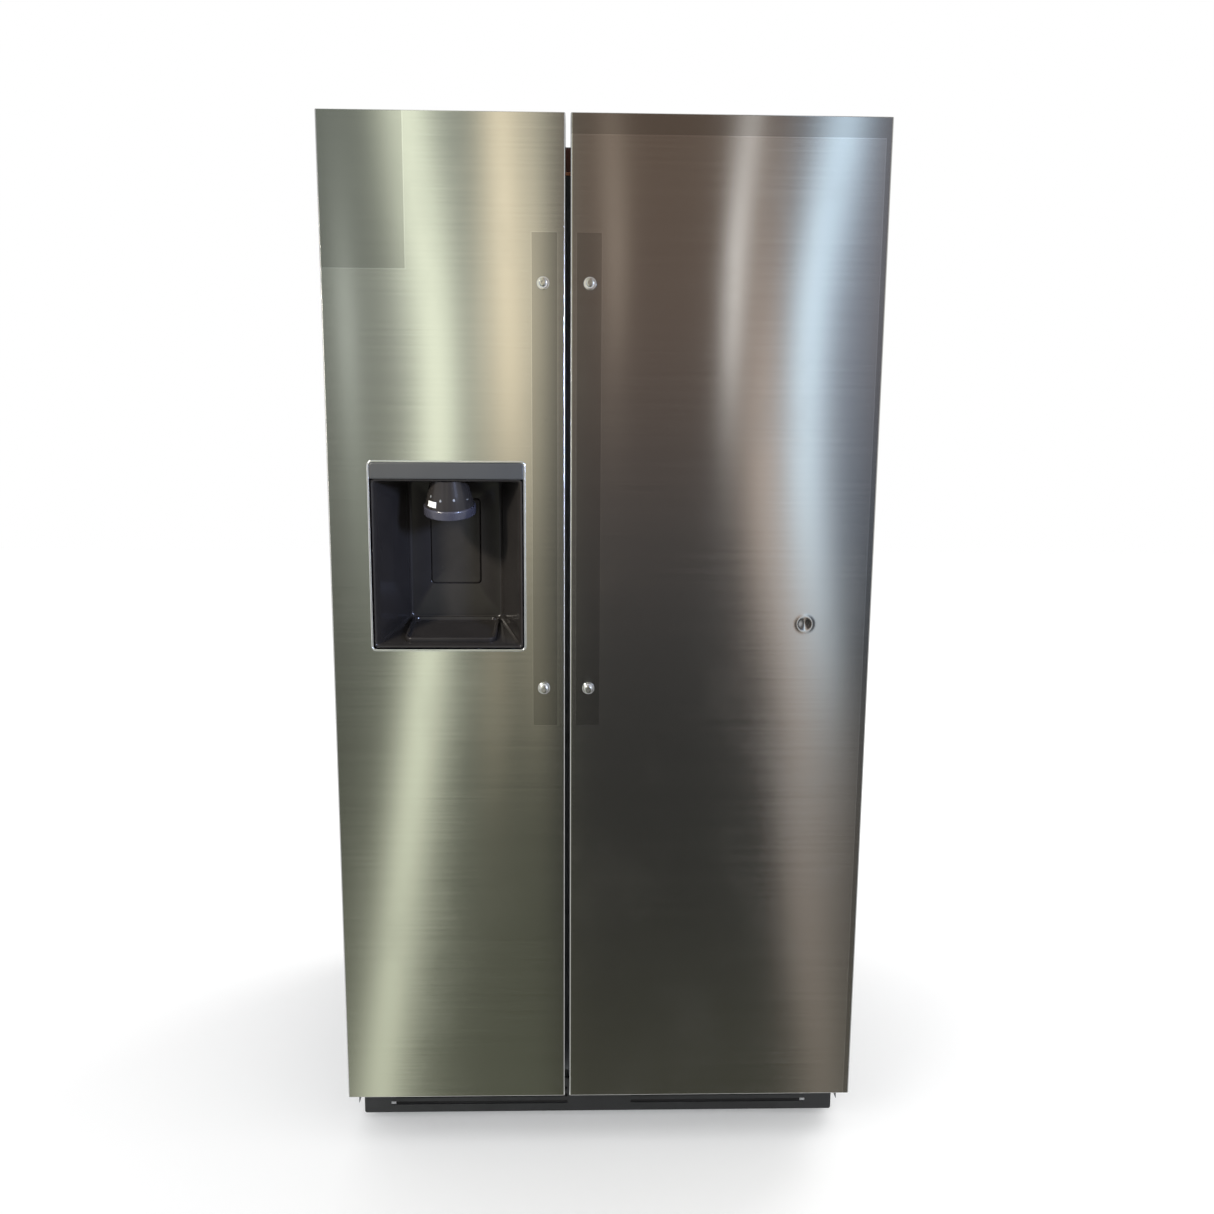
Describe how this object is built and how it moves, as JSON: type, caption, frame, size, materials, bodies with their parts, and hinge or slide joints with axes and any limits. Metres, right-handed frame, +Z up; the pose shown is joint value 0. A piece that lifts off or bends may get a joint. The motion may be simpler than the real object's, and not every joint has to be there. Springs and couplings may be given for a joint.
{
  "type": "refrigerator",
  "caption": "Tall two-door refrigerator and freezer side by side, with an ice and water dispenser recessed in the freezer door and opening doors, drawers and lids.",
  "frame": {"origin": "centre of the bounding box at floor level, midway between the outer door edges and between the handle studs' tips and the back panel", "axes": "+Z up, -Y out through the doors, +X to the right as seen from the front"},
  "size_m": [0.912, 0.809, 1.784],
  "materials": {
    "stainless": "horizontally brushed stainless steel",
    "bright_metal": "bright zinc or chrome plate",
    "painted_grey": "textured grey paint",
    "galvanised": "galvanised sheet",
    "white_liner": "white vacuum formed liner",
    "door_core": "rigid foam with a bonded white liner",
    "cap_plastic": "dark moulded plastic",
    "foam": "rigid polyurethane foam",
    "gasket_grey": "magnetic vinyl gasket",
    "clear_plastic": "clear tinted styrene",
    "shelf_glass": "tempered glass",
    "recess_black": "glossy dark plastic",
    "band_grey": "satin dark grey plastic",
    "chute_grey": "dark blue-grey plastic",
    "compressor_black": "black paint",
    "aluminium_fin": "bare aluminium",
    "rubber_black": "black rubber"
  },
  "bodies": {
    "cabinet": {"side_panel_left": "painted_grey", "side_panel_right": "painted_grey", "top_panel": "painted_grey", "back_panel": "galvanised", "floor_panel": "galvanised", "front_frame": "painted_grey", "case_insulation": "foam", "freezer_liner": "white_liner", "freezer_shelf": "shelf_glass", "evaporator_cover": "white_liner", "evaporator": "aluminium_fin", "ice_maker": "cap_plastic", "fridge_liner": "white_liner", "fridge_shelf_1": "shelf_glass", "fridge_shelf_2": "shelf_glass", "fridge_shelf_3": "shelf_glass", "base_frame": "galvanised", "kick_plate": "cap_plastic", "machine_cover": "galvanised", "cord_gland": "rubber_black", "compressor": "compressor_black", "condenser": "aluminium_fin", "top_hinge_left": "galvanised", "bottom_hinge_left": "galvanised", "top_hinge_right": "galvanised", "bottom_hinge_right": "galvanised"},
    "freezer_door": {"freezer_door_skin": "stainless", "freezer_door_core": "door_core", "freezer_door_top_cap": "cap_plastic", "freezer_door_gasket": "gasket_grey", "freezer_handle_studs": "bright_metal", "freezer_bin_1": "clear_plastic", "freezer_bin_2": "clear_plastic", "ice_bin": "clear_plastic", "dispenser_trim": "bright_metal", "dispenser_band": "band_grey", "dispenser_housing": "recess_black", "dispenser_chute": "chute_grey"},
    "fridge_door": {"fridge_door_skin": "stainless", "fridge_door_core": "door_core", "fridge_door_top_cap": "cap_plastic", "fridge_door_gasket": "gasket_grey", "fridge_handle_studs": "bright_metal", "fridge_bin_1": "clear_plastic", "fridge_bin_2": "clear_plastic", "dairy_bin": "clear_plastic"},
    "paddle": {"dispenser_paddle": "recess_black"},
    "tray": {"drip_tray": "recess_black"},
    "auger": {"ice_auger": "bright_metal"},
    "dairy_flap": {"dairy_lid": "clear_plastic"},
    "drawer_freezer_lower": {"freezer_drawer_lower": "clear_plastic"},
    "drawer_freezer_upper": {"freezer_drawer_upper": "clear_plastic"},
    "drawer_crisper_lower": {"crisper_lower": "clear_plastic"},
    "drawer_crisper_upper": {"crisper_upper": "clear_plastic"},
    "cold_air_fan": {"evaporator_fan": "cap_plastic"},
    "machine_fan": {"condenser_fan": "cap_plastic"},
    "left_foot": {"foot_left": "rubber_black"},
    "right_foot": {"foot_right": "rubber_black"},
    "left_roller": {"roller_left": "cap_plastic"},
    "right_roller": {"roller_right": "cap_plastic"}
  },
  "joints": [
    {"name": "freezer_door_swing", "type": "hinge", "parent": "cabinet", "child": "freezer_door", "pos_m": [-0.434, -0.3525, 0.094], "axis": [0, 0, -1], "range_deg": [0, 120]},
    {"name": "fridge_door_swing", "type": "hinge", "parent": "cabinet", "child": "fridge_door", "pos_m": [0.434, -0.3525, 0.094], "axis": [0, 0, 1], "range_deg": [0, 120]},
    {"name": "paddle_press", "type": "hinge", "parent": "freezer_door", "child": "paddle", "pos_m": [-0.26, -0.2565, 1.1636], "axis": [1, 0, 0], "range_deg": [0, 4], "stiffness_Nm_per_rad": 0.6, "springref_deg": -6.88},
    {"name": "drip_tray_lift", "type": "slide", "parent": "freezer_door", "child": "tray", "axis": [0, 0, 1], "range_m": [0, 0.05]},
    {"name": "ice_auger_turn", "type": "hinge", "parent": "freezer_door", "child": "auger", "pos_m": [-0.26, -0.2572, 1.315], "axis": [1, 0, 0], "continuous": true},
    {"name": "dairy_lid_swing", "type": "hinge", "parent": "fridge_door", "child": "dairy_flap", "pos_m": [0.202, -0.3145, 1.578], "axis": [1, 0, 0], "range_deg": [0, 75]},
    {"name": "freezer_drawer_lower_slide", "type": "slide", "parent": "cabinet", "child": "drawer_freezer_lower", "axis": [0, -1, 0], "range_m": [0, 0.074]},
    {"name": "freezer_drawer_upper_slide", "type": "slide", "parent": "cabinet", "child": "drawer_freezer_upper", "axis": [0, -1, 0], "range_m": [0, 0.074]},
    {"name": "crisper_lower_slide", "type": "slide", "parent": "cabinet", "child": "drawer_crisper_lower", "axis": [0, -1, 0], "range_m": [0, 0.074]},
    {"name": "crisper_upper_slide", "type": "slide", "parent": "cabinet", "child": "drawer_crisper_upper", "axis": [0, -1, 0], "range_m": [0, 0.074]},
    {"name": "evaporator_fan_spin", "type": "hinge", "parent": "cabinet", "child": "cold_air_fan", "pos_m": [-0.25, 0.31, 0.9903], "axis": [0, 1, 0], "continuous": true},
    {"name": "condenser_fan_spin", "type": "hinge", "parent": "cabinet", "child": "machine_fan", "pos_m": [-0.08, 0.297, 0.147], "axis": [1, 0, 0], "continuous": true},
    {"name": "foot_left_turn", "type": "hinge", "parent": "cabinet", "child": "left_foot", "pos_m": [-0.423, -0.2505, 0], "axis": [0, 0, 1], "continuous": true},
    {"name": "foot_right_turn", "type": "hinge", "parent": "cabinet", "child": "right_foot", "pos_m": [0.423, -0.2505, 0], "axis": [0, 0, 1], "continuous": true},
    {"name": "roller_left_roll", "type": "hinge", "parent": "cabinet", "child": "left_roller", "pos_m": [-0.423, 0.3445, 0.022], "axis": [1, 0, 0], "continuous": true},
    {"name": "roller_right_roll", "type": "hinge", "parent": "cabinet", "child": "right_roller", "pos_m": [0.423, 0.3445, 0.022], "axis": [1, 0, 0], "continuous": true}
  ]
}
